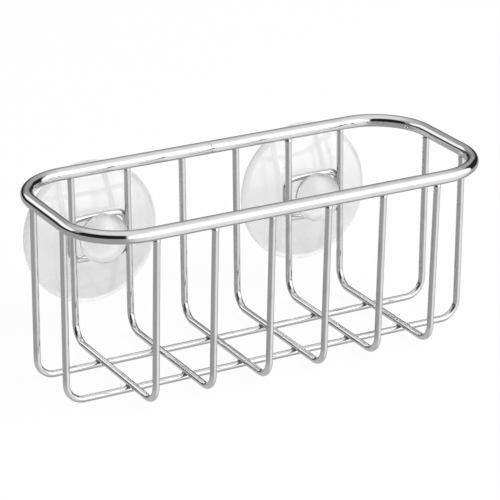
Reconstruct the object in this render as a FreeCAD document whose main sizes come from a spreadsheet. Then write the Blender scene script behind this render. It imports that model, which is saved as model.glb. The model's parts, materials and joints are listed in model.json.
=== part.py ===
"""A wire sponge holder with two suction cups, as a parametric document.

The basket is welded up from bent round wire: a heavy rim, six cross wires, two lengthwise wires and two small
loops that keep the cups. Each suction cup is one soft moulding, free to turn about its own axis in its keeper.

Millimetres. +X runs along the basket, +Y points at the wall that the cups hold on to and +Z is up. The origin is
the middle of the underside of the whole holder's box.
"""
import FreeCAD
import Part
import Sketcher

import enum
import math
import os

# Driving dimensions: a name, its value and what it measures
SIZES = [
    ("rim_length", "146", "outside length of the rim"),
    ("rim_width", "63.4", "outside width of the rim"),
    ("rim_wire", "4.2", "diameter of the rim's wire"),
    ("rim_corner_radius", "18.7", "bend radius of the rim's corners, on the wire's centre line"),
    ("basket_height", "61.4", "from the surface it stands on to the top of the rim"),
    ("seam_width", "0.4", "width of the groove that the rim's butt weld leaves"),
    ("seam_depth", "0.15", "depth of that groove"),
    ("thin_wire", "2.2", "diameter of every wire below the rim"),
    ("weld_bite", "0.35", "how far two welded wires sink into each other"),
    ("cross_pitch", "19.7", "spacing of the cross wires"),
    ("cross_bend_radius", "6", "bend radius of a cross wire at the floor, on its centre line"),
    ("wall_lean", "1.6", "how far the front and back walls come in between the rim and the floor"),
    ("long_wire_spacing", "21.2", "spacing of the two lengthwise wires"),
    ("long_bend_radius", "6", "bend radius of a lengthwise wire at the floor, on its centre line"),
    ("keeper_drop", "23.5", "from the rim's centre line down to the middle of a keeper"),
    ("keeper_corner_radius", "3", "bend radius of a keeper's corners, on the wire's centre line"),
    ("neck_diameter", "10.5", "diameter of a cup's neck"),
    ("neck_clearance", "0.3", "gap between a cup's neck and each bar of its keeper"),
    ("neck_play", "0.7", "gap along the cup's axis between a keeper and the head or the cup"),
    ("neck_fillet", "0.6", "fillet at both ends of the neck"),
    ("head_clearance", "0.55", "gap between a cup's head and the legs beside it"),
    ("head_height", "7", "height of the mushroom head"),
    ("head_edge_radius", "2.2", "rounding of the head's edge"),
    ("lip_diameter", "47", "outside diameter of a cup"),
    ("lip_thickness", "0.9", "thickness of a cup at its edge"),
    ("lip_land", "1.4", "width of the flat ring that meets the wall"),
    ("cup_depth", "4.4", "from the shoulder behind the keeper to the flat ring"),
    ("crown_wall", "1.8", "thickness of a cup in its middle"),
    ("cup_droop", "3.8", "angle, in degrees, that a cup hangs down from the line square to its wall"),
    ("cut_overrun", "1", "how far a cutting profile stands outside the solid that it cuts"),
]

CROSS_WIRES = 6

# The most of the head's overhang that the rounding of its edge may take
EDGE_LIMIT_SHARE = 0.95

# Places and sizes worked out from the driving dimensions, as expressions
RIM_RADIUS = "(Sizes.rim_wire / 2)"
WIRE_RADIUS = "(Sizes.thin_wire / 2)"
RIM_X = f"(Sizes.rim_length / 2 - {RIM_RADIUS})"
RIM_Y = f"(Sizes.rim_width / 2 - {RIM_RADIUS})"
RIM_Z = f"(Sizes.basket_height - {RIM_RADIUS})"
WELD_STEP = "(Sizes.thin_wire - Sizes.weld_bite)"
CROSS_Z = f"({WIRE_RADIUS} + {WELD_STEP})"
LEG_TOP_Z = f"({RIM_Z} - {RIM_RADIUS} + Sizes.weld_bite)"
FLOOR_Y = f"({RIM_Y} - Sizes.wall_lean)"
LEAN_SLOPE = f"(Sizes.wall_lean / ({RIM_Z} - {CROSS_Z}))"
LEAN_ANGLE = f"atan({LEAN_SLOPE})"
LEG_TOP_Y = f"({RIM_Y} - {LEAN_SLOPE} * ({RIM_Z} - {LEG_TOP_Z}))"

# A keeper lies against the leaning back legs, sunk into them by the weld
KEEPER_X = f"({CROSS_WIRES / 2 - 1} * Sizes.cross_pitch)"
KEEPER_Y = f"({RIM_Y} - {LEAN_SLOPE} * Sizes.keeper_drop + {WELD_STEP} * cos({LEAN_ANGLE}))"
KEEPER_Z = f"({RIM_Z} - Sizes.keeper_drop - {WELD_STEP} * sin({LEAN_ANGLE}))"
KEEPER_HALF_WIDTH = "(Sizes.cross_pitch / 2)"
KEEPER_HALF_HEIGHT = f"(Sizes.neck_diameter / 2 + Sizes.neck_clearance + {WIRE_RADIUS})"

# A cup's own sizes, with heights along its axis from the middle of its keeper
CUP_ANGLE = f"({LEAN_ANGLE} + Sizes.cup_droop * 1deg)"
NECK_RADIUS = "(Sizes.neck_diameter / 2)"
HEAD_RADIUS = f"(Sizes.cross_pitch / 2 - {WIRE_RADIUS} - Sizes.head_clearance)"
LIP_RADIUS = "(Sizes.lip_diameter / 2)"
SHOULDER = f"({WIRE_RADIUS} + Sizes.neck_play)"
OVERHANG = f"({HEAD_RADIUS} - {NECK_RADIUS} - Sizes.neck_fillet)"
EDGE_RADIUS = f"min(Sizes.head_edge_radius; {EDGE_LIMIT_SHARE} * {OVERHANG})"
HEAD_TOP = f"({SHOULDER} + Sizes.head_height)"
CROWN = f"({SHOULDER} + Sizes.crown_wall)"
LIP_FACE = f"({SHOULDER} + Sizes.cup_depth)"

# The box runs from the front of the rim to the highest point of the lips, and its middle is at Y zero
BACK_REACH = f"({KEEPER_Y} + {LIP_FACE} * cos({CUP_ANGLE}) + {LIP_RADIUS} * sin({CUP_ANGLE}))"
BASKET_Y = f"((Sizes.rim_width / 2 - {BACK_REACH}) / 2)"

# The place of a point that lies on a sketch's upright axis
ON_AXIS = "0"

SWEEP_TOLERANCE_SHARE = 0.01


class Spot(enum.IntEnum):
    """How a sketch numbers the points of an element."""
    START = 1
    END = 2
    CENTRE = 3


class Given(enum.IntEnum):
    """How a sketch numbers the elements that it has from the start."""
    ORIGIN = -1
    UPRIGHT_AXIS = -2


def make_sheet(doc):
    """Put the driving dimensions into a spreadsheet, one row each."""
    sheet = doc.addObject("Spreadsheet::Sheet", "Sizes")
    for row, (name, value, meaning) in enumerate(SIZES, start=1):
        sheet.set(f"A{row}", name)
        sheet.set(f"B{row}", value)
        sheet.set(f"C{row}", meaning)
        sheet.setAlias(f"B{row}", name)
    doc.recompute()


def number(doc, expression):
    """The value of an expression, as a plain number."""
    value = doc.Sizes.evalExpression(expression)
    return float(getattr(value, "Value", value))


def vector(doc, x, y):
    """A point of a sketch from two expressions."""
    return FreeCAD.Vector(number(doc, x), number(doc, y), 0)


def make_body(doc, label, x=ON_AXIS, y=BASKET_Y, z="0", turn="0deg"):
    """A body at a place and turned about X, all given as expressions."""
    body = doc.addObject("PartDesign::Body", label)
    body.Label = label
    place = f"placement(vector({x}; {y}; {z}); rotation(vector(1; 0; 0); {turn}))"
    body.setExpression("Placement", place)
    return body


def make_sketch(body, name, role):
    """A sketch on one of the body's own origin planes."""
    sketch = body.newObject("Sketcher::SketchObject", name)
    planes = {plane.Role: plane for plane in body.Origin.OriginFeatures}
    sketch.AttachmentSupport = [(planes[role], "")]
    sketch.MapMode = "FlatFace"
    return sketch


def drive(sketch, kind, elements, expression):
    """Add a dimension to a sketch and bind it to an expression."""
    size = number(sketch.Document, expression)
    index = sketch.addConstraint(Sketcher.Constraint(kind, *elements, size))
    sketch.setExpression(f"Constraints[{index}]", expression)


def relate(sketch, kind, *elements):
    """Add a relation that has no size to a sketch."""
    sketch.addConstraint(Sketcher.Constraint(kind, *elements))


def pin(sketch, element, end, x, y):
    """Fix a point of a sketch at the place that two expressions give."""
    if x == ON_AXIS:
        relate(sketch, "PointOnObject", element, end, Given.UPRIGHT_AXIS)
    else:
        drive(sketch, "DistanceX", (Given.ORIGIN, Spot.START, element, end), x)
    drive(sketch, "DistanceY", (Given.ORIGIN, Spot.START, element, end), y)


def end_at(sketch, element, spot):
    """Which end of an element lies at a spot."""
    return min((Spot.START, Spot.END), key=lambda end: sketch.getPoint(element, end).distanceToPoint(spot))


def join(sketch, kind, first, second, spot):
    """Tie the ends that two elements have at a spot, Coincident or Tangent."""
    relate(sketch, kind, first, end_at(sketch, first, spot), second, end_at(sketch, second, spot))


def draw_bent_line(sketch, corners, radius):
    """Straight runs from corner to corner, with a tangent arc of one radius at each inner corner."""
    doc = sketch.Document
    spots = [vector(doc, x, y) for x, y in corners]
    bend = number(doc, radius)
    turns = [(b - a).getAngle(c - b) for a, b, c in zip(spots, spots[1:], spots[2:])]
    trims = [0, *(bend * math.tan(turn / 2) for turn in turns), 0]
    runs = []
    for index, (here, there) in enumerate(zip(spots, spots[1:])):
        along = (there - here).normalize()
        line = Part.LineSegment(here + along * trims[index], there - along * trims[index + 1])
        runs.append(sketch.addGeometry(line))
    pin(sketch, runs[0], Spot.START, *corners[0])
    pin(sketch, runs[-1], Spot.END, *corners[-1])
    for before, after, corner, turn in zip(runs, runs[1:], corners[1:], turns):
        arc_start = sketch.getPoint(before, Spot.END)
        arc_end = sketch.getPoint(after, Spot.START)
        corner_spot = vector(doc, *corner)
        inward = ((arc_start + arc_end) / 2 - corner_spot).normalize()
        arc_middle = corner_spot + inward * bend * (1 / math.cos(turn / 2) - 1)
        arc = sketch.addGeometry(Part.Arc(arc_start, arc_middle, arc_end))
        point = sketch.addGeometry(Part.Point(corner_spot), True)
        pin(sketch, point, Spot.START, *corner)
        relate(sketch, "PointOnObject", point, Spot.START, before)
        relate(sketch, "PointOnObject", point, Spot.START, after)
        join(sketch, "Tangent", before, arc, arc_start)
        join(sketch, "Tangent", arc, after, arc_end)
        drive(sketch, "Radius", (arc,), radius)


def sweep_wire(body, path, radius):
    """Round wire along a path that starts at the path's first edge."""
    section = body.newObject("Sketcher::SketchObject", f"{body.Name}_section")
    section.AttachmentSupport = [(path, "Edge1")]
    section.MapMode = "NormalToEdge"
    section.MapPathParameter = 0
    size = number(body.Document, radius)
    circle = section.addGeometry(Part.Circle(FreeCAD.Vector(), FreeCAD.Vector(0, 0, 1), size))
    relate(section, "Coincident", circle, Spot.CENTRE, Given.ORIGIN, Spot.START)
    drive(section, "Radius", (circle,), radius)
    wire = body.newObject("PartDesign::AdditivePipe", f"{body.Name}_wire")
    wire.Profile = section
    wire.Spine = (path, [])
    body.Document.recompute()
    expected = math.pi * size ** 2 * path.Shape.Length
    if abs(body.Shape.Volume - expected) > expected * SWEEP_TOLERANCE_SHARE:
        raise RuntimeError(f"{body.Label}: the swept volume isn't its section times its length")


def make_rim(doc):
    """The rounded rectangle, which starts and ends at the butt weld in its back run."""
    body = make_body(doc, "rim", z=RIM_Z)
    path = make_sketch(body, "rim_path", "XY_Plane")
    corners = [
        (ON_AXIS, RIM_Y),
        (f"-{RIM_X}", RIM_Y),
        (f"-{RIM_X}", f"-{RIM_Y}"),
        (RIM_X, f"-{RIM_Y}"),
        (RIM_X, RIM_Y),
        (ON_AXIS, RIM_Y),
    ]
    draw_bent_line(path, corners, "Sizes.rim_corner_radius")
    sweep_wire(body, path, RIM_RADIUS)
    cut_seam(body)
    return body


def cut_seam(body):
    """A shallow V round the rim's wire, where its two ends are welded together."""
    doc = body.Document
    sketch = make_sketch(body, "seam_section", "XZ_Plane")
    sketch.setExpression("AttachmentOffset.Base.z", f"-{RIM_Y}")
    outside = f"({RIM_RADIUS} + Sizes.cut_overrun)"
    bottom = f"({RIM_RADIUS} - Sizes.seam_depth)"
    spread = "(Sizes.seam_width / 2 * (Sizes.seam_depth + Sizes.cut_overrun) / Sizes.seam_depth)"
    corners = [(ON_AXIS, bottom), (spread, outside), (f"-{spread}", outside)]
    spots = [vector(doc, x, y) for x, y in corners]
    sides = [sketch.addGeometry(Part.LineSegment(a, b)) for a, b in zip(spots, spots[1:] + spots[:1])]
    for side, corner in zip(sides, corners):
        pin(sketch, side, Spot.START, *corner)
    for side, following in zip(sides, sides[1:] + sides[:1]):
        relate(sketch, "Coincident", side, Spot.END, following, Spot.START)
    whole = body.Shape.Volume
    groove = body.newObject("PartDesign::Groove", "seam")
    groove.Profile = sketch
    groove.ReferenceAxis = (sketch, ["H_Axis"])
    doc.recompute()
    if not body.Shape.Volume < whole:
        raise RuntimeError("the seam's groove cut nothing")


def make_cross_wire(doc, count):
    """One U from the front of the rim, down, across the floor and up to the back."""
    place = f"({count - (CROSS_WIRES + 1) / 2} * Sizes.cross_pitch)"
    body = make_body(doc, f"cross_wire_{count}", x=place)
    path = make_sketch(body, f"{body.Name}_path", "YZ_Plane")
    corners = [
        (f"-{LEG_TOP_Y}", LEG_TOP_Z),
        (f"-{FLOOR_Y}", CROSS_Z),
        (FLOOR_Y, CROSS_Z),
        (LEG_TOP_Y, LEG_TOP_Z),
    ]
    draw_bent_line(path, corners, "Sizes.cross_bend_radius")
    sweep_wire(body, path, WIRE_RADIUS)
    return body


def make_long_wire(doc, label, side):
    """One U from an end of the rim, down, along under the cross wires and up to the other end."""
    body = make_body(doc, label, y=f"({BASKET_Y} + {side} * Sizes.long_wire_spacing / 2)")
    path = make_sketch(body, f"{label}_path", "XZ_Plane")
    corners = [
        (f"-{RIM_X}", LEG_TOP_Z),
        (f"-{RIM_X}", WIRE_RADIUS),
        (RIM_X, WIRE_RADIUS),
        (RIM_X, LEG_TOP_Z),
    ]
    draw_bent_line(path, corners, "Sizes.long_bend_radius")
    sweep_wire(body, path, WIRE_RADIUS)
    return body


def make_keeper(doc, label, side):
    """A closed loop against two back legs, with room for a cup's neck between its bars."""
    place_y = f"({BASKET_Y} + {KEEPER_Y})"
    body = make_body(doc, label, f"{side} * {KEEPER_X}", place_y, KEEPER_Z, f"-{LEAN_ANGLE}")
    path = make_sketch(body, f"{label}_path", "XZ_Plane")
    corners = [
        (ON_AXIS, KEEPER_HALF_HEIGHT),
        (f"-{KEEPER_HALF_WIDTH}", KEEPER_HALF_HEIGHT),
        (f"-{KEEPER_HALF_WIDTH}", f"-{KEEPER_HALF_HEIGHT}"),
        (KEEPER_HALF_WIDTH, f"-{KEEPER_HALF_HEIGHT}"),
        (KEEPER_HALF_WIDTH, KEEPER_HALF_HEIGHT),
        (ON_AXIS, KEEPER_HALF_HEIGHT),
    ]
    draw_bent_line(path, corners, "Sizes.keeper_corner_radius")
    sweep_wire(body, path, WIRE_RADIUS)
    return body


def make_suction_cup(doc, label, side):
    """Head, neck and cup in one moulding, turned about the axis that runs through its keeper."""
    place_y = f"({BASKET_Y} + {KEEPER_Y})"
    body = make_body(doc, label, f"{side} * {KEEPER_X}", place_y, KEEPER_Z, f"-{CUP_ANGLE}")
    sketch = make_sketch(body, f"{label}_outline", "XY_Plane")
    draw_cup_outline(sketch)
    cup = body.newObject("PartDesign::Revolution", f"{label}_moulding")
    cup.Profile = sketch
    cup.ReferenceAxis = (sketch, ["V_Axis"])
    return body


def draw_cup_outline(sketch):
    """Half the cup's section: radius to the right, and height along its axis towards the wall."""
    doc = sketch.Document

    def line(start, end):
        return sketch.addGeometry(Part.LineSegment(start, end))

    def arc(start, middle, end):
        return sketch.addGeometry(Part.Arc(start, middle, end))

    def between(start, end, bow):
        """The middle of a chord, moved square to it by a share of its length."""
        chord = end - start
        return start + chord / 2 + FreeCAD.Vector(chord.y, -chord.x, 0) * bow

    edge_x = f"({HEAD_RADIUS} - {EDGE_RADIUS})"
    edge_y = f"-({SHOULDER} + {EDGE_RADIUS})"
    lip_front = f"({LIP_FACE} - Sizes.lip_thickness)"
    land_edge = f"({LIP_RADIUS} - Sizes.lip_land)"
    fillet = number(doc, "Sizes.neck_fillet")
    edge = number(doc, EDGE_RADIUS)
    right = FreeCAD.Vector(1, 0, 0)
    up = FreeCAD.Vector(0, 1, 0)

    head_top = vector(doc, ON_AXIS, f"-{HEAD_TOP}")
    edge_centre = vector(doc, edge_x, edge_y)
    edge_start = edge_centre + (right - up).normalize() * edge
    edge_end = edge_centre + up * edge
    head_root = vector(doc, NECK_RADIUS, f"-{SHOULDER}")
    root_start = head_root + right * fillet
    root_end = head_root + up * fillet
    shoulder = vector(doc, NECK_RADIUS, SHOULDER)
    foot_start = shoulder - up * fillet
    foot_end = shoulder + right * fillet
    front = vector(doc, LIP_RADIUS, lip_front)
    face = vector(doc, LIP_RADIUS, LIP_FACE)
    land = vector(doc, land_edge, LIP_FACE)
    crown = vector(doc, ON_AXIS, CROWN)

    dome_bow_share = 0.12
    cup_bow_share = 0.03
    quarter_bow_share = 0.2
    axis = line(crown, head_top)
    dome = arc(head_top, between(head_top, edge_start, dome_bow_share), edge_start)
    rounding = arc(edge_start, edge_centre + right * edge, edge_end)
    under = line(edge_end, root_start)
    root = arc(root_start, between(root_start, root_end, -quarter_bow_share), root_end)
    neck = line(root_end, foot_start)
    foot = arc(foot_start, between(foot_start, foot_end, -quarter_bow_share), foot_end)
    outer = arc(foot_end, between(foot_end, front, cup_bow_share), front)
    lip = line(front, face)
    flat = line(face, land)
    hollow = arc(land, between(land, crown, -cup_bow_share), crown)
    corner = sketch.addGeometry(Part.Point(shoulder), True)

    pin(sketch, axis, Spot.START, ON_AXIS, CROWN)
    pin(sketch, axis, Spot.END, ON_AXIS, f"-{HEAD_TOP}")
    pin(sketch, rounding, Spot.CENTRE, edge_x, edge_y)
    pin(sketch, corner, Spot.START, NECK_RADIUS, SHOULDER)
    pin(sketch, lip, Spot.START, LIP_RADIUS, lip_front)
    pin(sketch, lip, Spot.END, LIP_RADIUS, LIP_FACE)
    pin(sketch, flat, Spot.END, land_edge, LIP_FACE)
    for element in (dome, outer, hollow):
        relate(sketch, "PointOnObject", element, Spot.CENTRE, Given.UPRIGHT_AXIS)
    relate(sketch, "PointOnObject", corner, Spot.START, outer)
    relate(sketch, "Horizontal", under)
    relate(sketch, "Vertical", neck)
    drive(sketch, "DistanceX", (Given.ORIGIN, Spot.START, neck, Spot.START), NECK_RADIUS)
    drive(sketch, "Radius", (rounding,), EDGE_RADIUS)
    for element in (root, foot):
        drive(sketch, "Radius", (element,), "Sizes.neck_fillet")
    join(sketch, "Coincident", axis, dome, head_top)
    join(sketch, "Tangent", dome, rounding, edge_start)
    join(sketch, "Tangent", rounding, under, edge_end)
    join(sketch, "Tangent", under, root, root_start)
    join(sketch, "Tangent", root, neck, root_end)
    join(sketch, "Tangent", neck, foot, foot_start)
    join(sketch, "Tangent", foot, outer, foot_end)
    join(sketch, "Coincident", outer, lip, front)
    join(sketch, "Coincident", lip, flat, face)
    join(sketch, "Coincident", flat, hollow, land)
    join(sketch, "Coincident", hollow, axis, crown)


def check(doc, bodies):
    """Stop if anything in the document failed, or a sub-part isn't one valid solid."""
    doc.recompute()
    for item in doc.Objects:
        if {"Invalid", "Error"} & set(item.State):
            raise RuntimeError(f"{item.Label} failed: {item.State}")
    for body in bodies:
        if body.Shape.isNull() or not body.Shape.isValid() or len(body.Shape.Solids) != 1:
            raise RuntimeError(f"{body.Label} isn't one valid solid")


def main():
    """Build the document, check it and write each sub-part's shape."""
    doc = FreeCAD.newDocument("sponge_holder")
    make_sheet(doc)
    bodies = [make_rim(doc)]
    bodies += [make_cross_wire(doc, count) for count in range(1, CROSS_WIRES + 1)]
    bodies += [make_long_wire(doc, "long_wire_front", -1), make_long_wire(doc, "long_wire_back", 1)]
    for name, side in (("left", -1), ("right", 1)):
        bodies.append(make_keeper(doc, f"{name}_keeper", side))
        bodies.append(make_suction_cup(doc, f"{name}_suction_cup", side))
    check(doc, bodies)
    os.makedirs("parts", exist_ok=True)
    for body in bodies:
        body.Shape.exportStep(f"parts/{body.Label}.step")
        print(f"{body.Label}: {body.Shape.Volume:.1f} mm3, {body.Shape.BoundBox}")


main()
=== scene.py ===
"""A wire sponge holder with two suction cups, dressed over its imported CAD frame.

Metres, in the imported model's own frame: +X runs along the basket, +Y points at the wall that the cups hold
on to and +Z is up. Each welded wire is swept along its bent line and each cup is turned about its axis.
"""
import json
import math

import bpy
from mathutils import Matrix, Quaternion, Vector


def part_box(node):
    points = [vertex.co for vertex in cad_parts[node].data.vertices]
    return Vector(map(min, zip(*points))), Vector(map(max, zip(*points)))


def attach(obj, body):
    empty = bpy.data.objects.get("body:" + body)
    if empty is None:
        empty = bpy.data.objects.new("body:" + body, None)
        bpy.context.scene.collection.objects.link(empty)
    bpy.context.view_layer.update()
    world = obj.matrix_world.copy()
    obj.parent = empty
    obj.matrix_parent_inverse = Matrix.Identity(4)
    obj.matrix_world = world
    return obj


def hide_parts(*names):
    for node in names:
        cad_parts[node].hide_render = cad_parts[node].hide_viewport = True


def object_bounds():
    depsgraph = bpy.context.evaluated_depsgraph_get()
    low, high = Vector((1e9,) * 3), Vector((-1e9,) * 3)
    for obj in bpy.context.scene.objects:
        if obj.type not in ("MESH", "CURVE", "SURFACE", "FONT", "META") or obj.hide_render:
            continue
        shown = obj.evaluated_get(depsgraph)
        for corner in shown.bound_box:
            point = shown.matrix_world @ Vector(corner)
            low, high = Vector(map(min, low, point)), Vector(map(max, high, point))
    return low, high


bl_info = {
    "name": "Wire sponge holder",
    "version": (1, 0, 0),
    "blender": (4, 5, 0),
    "location": "View3D > Sidebar > Sponge holder",
    "description": "Builds a welded wire sponge holder with two suction cups",
    "category": "Object",
}

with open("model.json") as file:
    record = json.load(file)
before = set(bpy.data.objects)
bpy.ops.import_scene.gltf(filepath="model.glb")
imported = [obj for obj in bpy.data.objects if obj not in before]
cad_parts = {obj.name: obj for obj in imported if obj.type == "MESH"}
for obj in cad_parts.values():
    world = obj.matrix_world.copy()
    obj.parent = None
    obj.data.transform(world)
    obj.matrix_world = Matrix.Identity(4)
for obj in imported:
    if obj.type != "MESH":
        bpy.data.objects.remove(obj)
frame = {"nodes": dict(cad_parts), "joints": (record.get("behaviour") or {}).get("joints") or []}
CAD_LOW, CAD_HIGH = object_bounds()

MM = 0.001

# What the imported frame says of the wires
RIM_LOW, RIM_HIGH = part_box("rim")
RIM_MIDDLE = (RIM_LOW + RIM_HIGH) / 2
RIM_RADIUS = (RIM_HIGH.z - RIM_LOW.z) / 2
RIM_HALF_X = (RIM_HIGH.x - RIM_LOW.x) / 2 - RIM_RADIUS
RIM_HALF_Y = (RIM_HIGH.y - RIM_LOW.y) / 2 - RIM_RADIUS
CROSS_WIRES = sorted(name for name in frame["nodes"] if name.startswith("cross_wire_"))
LONG_WIRES = sorted(name for name in frame["nodes"] if name.startswith("long_wire_"))
SIDES = ("left", "right")
FIRST_LOW, FIRST_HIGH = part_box(CROSS_WIRES[0])
WIRE_RADIUS = (FIRST_HIGH.x - FIRST_LOW.x) / 2
CROSS_Z = FIRST_LOW.z + WIRE_RADIUS
LONG_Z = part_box(LONG_WIRES[0])[0].z + WIRE_RADIUS
WALL_HEIGHT = RIM_MIDDLE.z - CROSS_Z
TURNS = {joint["child"]: joint for joint in frame["joints"]}

# A closed loop's corners, as shares of half its length and width, from the middle of one side back to it
LOOP = [(0, 1), (-1, 1), (-1, -1), (1, -1), (1, 1), (0, 1)]

# No two welds are alike: how much of a full ring stands at the front or left end of each thin wire, and at
# its other end
WELD_SHARES = {
    "cross_wire_1": (0.45, 0.25), "cross_wire_2": (0.6, 0.3), "cross_wire_3": (0.35, 0.2),
    "cross_wire_4": (0.8, 0.2), "cross_wire_5": (0.5, 1.0), "cross_wire_6": (0.75, 0.25),
    "long_wire_front": (0.2, 0.4), "long_wire_back": (0.15, 0.55),
}

# How finely a wire's bends, runs and welded ends are divided, and where the rim has rings beside its seam, as
# shares of half the seam's width
BEND_STEPS = 20
RUN_STEP = 2 * MM
WELD_STEPS = 24
SEAM_SHARES = (0.5, 1, 1.5)

# How many sides the round pieces and the floor have
RIM_SIDES = 40
WIRE_SIDES = 28
CUP_SIDES = 160
BEAD_SIDES = 16
FLOOR_SIDES = 96

# How finely the faces, edges, fillets and taper of a cup's section are divided
FACE_STEPS = 40
HEAD_EDGE_STEPS = 20
FILLET_STEPS = 8
TAPER_STEPS = 12
LIP_EDGE_STEPS = 10

# Where the lip's taper meets its trimmed edge, as an angle of that edge in degrees
LIP_EDGE_START = -60

# How far a weld bead is from round, as an oval and in three lobes, and how wide and long a keeper's bead is
# against one of the floor
BEAD_OVAL = 0.10
BEAD_LOBES = 0.06
KEEPER_BEAD_WIDTH = 0.6
KEEPER_BEAD_LENGTH = 1.5

# In how many places a lip curls, how far round the cup they are turned, in radians, and how steeply the curl
# falls off inwards
CURLS = 3
CURL_TURN = 0.8
CURL_POWER = 6

# How much rougher than its polished faces the mould leaves a cup's head and its trimmed edge
BLASTED = 0.22
TRIMMED = 0.5

# How many flow marks stand round a cup's head and its lip, as a radius on which one mark is one long
HEAD_MARKS = 1.6
LIP_MARKS = 4.5


def middle(node):
    """The middle of a CAD node's box."""
    low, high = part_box(node)
    return (low + high) / 2


def linear(colour):
    """An sRGB hex colour as linear red, green and blue."""
    shares = [int(colour[place:place + 2], 16) / 255 for place in (1, 3, 5)]
    return tuple(c / 12.92 if c <= 0.04045 else ((c + 0.055) / 1.055) ** 2.4 for c in shares)


class BasketSizes(bpy.types.PropertyGroup):
    """Sizes of the welded basket that its boxes in the frame don't give."""
    rim_bend: bpy.props.FloatProperty(
        name="Rim bend", description="Bend radius of the rim's corners, on the wire's centre line",
        default=18.7 * MM, unit="LENGTH")
    floor_bend: bpy.props.FloatProperty(
        name="Floor bend", description="Bend radius where a thin wire turns into the floor",
        default=6 * MM, unit="LENGTH")
    wall_lean: bpy.props.FloatProperty(
        name="Wall lean", description="How far the front and back walls come in from the rim to the floor",
        default=1.6 * MM, unit="LENGTH")
    keeper_bend: bpy.props.FloatProperty(
        name="Keeper bend", description="Bend radius of a keeper's corners", default=3 * MM, unit="LENGTH")
    keeper_crown: bpy.props.FloatProperty(
        name="Keeper crown", description="How far the middle of a keeper's two level bars bows outwards",
        default=0.3 * MM, unit="LENGTH")
    weld_depth: bpy.props.FloatProperty(
        name="Weld depth", description="How far below the rim's centre line a leg ends, inside the rim",
        default=0.5 * MM, unit="LENGTH")
    upset: bpy.props.FloatProperty(
        name="Upset", description="Height of the ring that the weld squeezes out round the end of a leg",
        default=0.2 * MM, unit="LENGTH")
    upset_length: bpy.props.FloatProperty(
        name="Upset length", description="How far down a leg that ring reaches",
        default=1.0 * MM, unit="LENGTH")
    seam_width: bpy.props.FloatProperty(
        name="Seam width", description="Width of the groove at the rim's butt weld",
        default=0.4 * MM, unit="LENGTH")
    seam_depth: bpy.props.FloatProperty(
        name="Seam depth", description="Depth of the groove at the rim's butt weld",
        default=0.15 * MM, unit="LENGTH")
    bead_width: bpy.props.FloatProperty(
        name="Bead width", description="How far the metal squeezed out of a spot weld reaches",
        default=1.5 * MM, unit="LENGTH")
    bead_height: bpy.props.FloatProperty(
        name="Bead height", description="Half the height of that metal", default=0.55 * MM, unit="LENGTH")


class CupSizes(bpy.types.PropertyGroup):
    """Sizes of a suction cup, measured along its axis from the middle of its keeper."""
    neck_diameter: bpy.props.FloatProperty(
        name="Neck diameter", description="Diameter of the neck in its keeper",
        default=10.5 * MM, unit="LENGTH")
    neck_length: bpy.props.FloatProperty(
        name="Neck length", description="From the head's underside to the cup's shoulder",
        default=3.6 * MM, unit="LENGTH")
    neck_fillet: bpy.props.FloatProperty(
        name="Neck fillet", description="Fillet at both ends of the neck", default=0.6 * MM, unit="LENGTH")
    head_diameter: bpy.props.FloatProperty(
        name="Head diameter", description="Diameter of the mushroom head", default=16.4 * MM, unit="LENGTH")
    head_height: bpy.props.FloatProperty(
        name="Head height", description="Height of the mushroom head", default=7 * MM, unit="LENGTH")
    head_edge: bpy.props.FloatProperty(
        name="Head edge", description="Rounding of the head's edge", default=2.2 * MM, unit="LENGTH")
    gate_diameter: bpy.props.FloatProperty(
        name="Gate diameter", description="Diameter of the shallow mark of the mould's gate on the head",
        default=5.6 * MM, unit="LENGTH")
    gate_depth: bpy.props.FloatProperty(
        name="Gate depth", description="Depth of that mark", default=0.35 * MM, unit="LENGTH")
    lip_diameter: bpy.props.FloatProperty(
        name="Lip diameter", description="Outside diameter of the cup", default=47 * MM, unit="LENGTH")
    lip_thickness: bpy.props.FloatProperty(
        name="Lip thickness", description="Thickness of the cup at its edge", default=0.9 * MM, unit="LENGTH")
    lip_land: bpy.props.FloatProperty(
        name="Lip land", description="Width of the flat ring that meets the wall",
        default=1.4 * MM, unit="LENGTH")
    lip_rounding: bpy.props.FloatProperty(
        name="Lip rounding", description="Rounding of the lip's trimmed edge",
        default=0.15 * MM, unit="LENGTH")
    lip_taper: bpy.props.FloatProperty(
        name="Lip taper", description="Width over which the lip thins to its edge",
        default=1.8 * MM, unit="LENGTH")
    lip_wave: bpy.props.FloatProperty(
        name="Lip wave", description="How far the soft lip curls towards the basket at its three high places",
        default=0.14 * MM, unit="LENGTH")
    cup_depth: bpy.props.FloatProperty(
        name="Cup depth", description="From the shoulder to the flat ring", default=4.4 * MM, unit="LENGTH")
    crown_wall: bpy.props.FloatProperty(
        name="Crown wall", description="Thickness of the cup in its middle", default=1.8 * MM, unit="LENGTH")


class Finishes(bpy.types.PropertyGroup):
    """Colours of the plating, the weld metal with its painted shade, and the clear moulding."""
    chrome: bpy.props.FloatVectorProperty(
        name="Chrome", description="Colour of the bright plating", subtype="COLOR", size=3, min=0, max=1,
        default=linear("#C9C9C9"))
    chrome_haze: bpy.props.FloatVectorProperty(
        name="Chrome haze", description="Colour of the plating where handling has dulled it", subtype="COLOR",
        size=3, min=0, max=1, default=linear("#BFBFBF"))
    # The weld greys are partly the weld metal's own and partly painted shade and reflection where wires cross
    weld: bpy.props.FloatVectorProperty(
        name="Weld", description="Colour of the weld metal under its thin plating", subtype="COLOR",
        size=3, min=0, max=1, default=linear("#8E8B88"))
    weld_dark_and_shade: bpy.props.FloatVectorProperty(
        name="Darker weld", description="Colour of the weld metal where heat has burnt it", subtype="COLOR",
        size=3, min=0, max=1, default=linear("#4A4745"))
    clear: bpy.props.FloatVectorProperty(
        name="Clear", description="What two walls of the clear moulding let through", subtype="COLOR", size=3,
        min=0, max=1, default=linear("#FCFCFC"))
    clear_haze: bpy.props.FloatVectorProperty(
        name="Clear haze", description="The same where the moulding is cloudier", subtype="COLOR", size=3,
        min=0, max=1, default=linear("#F4F4F4"))


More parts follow.
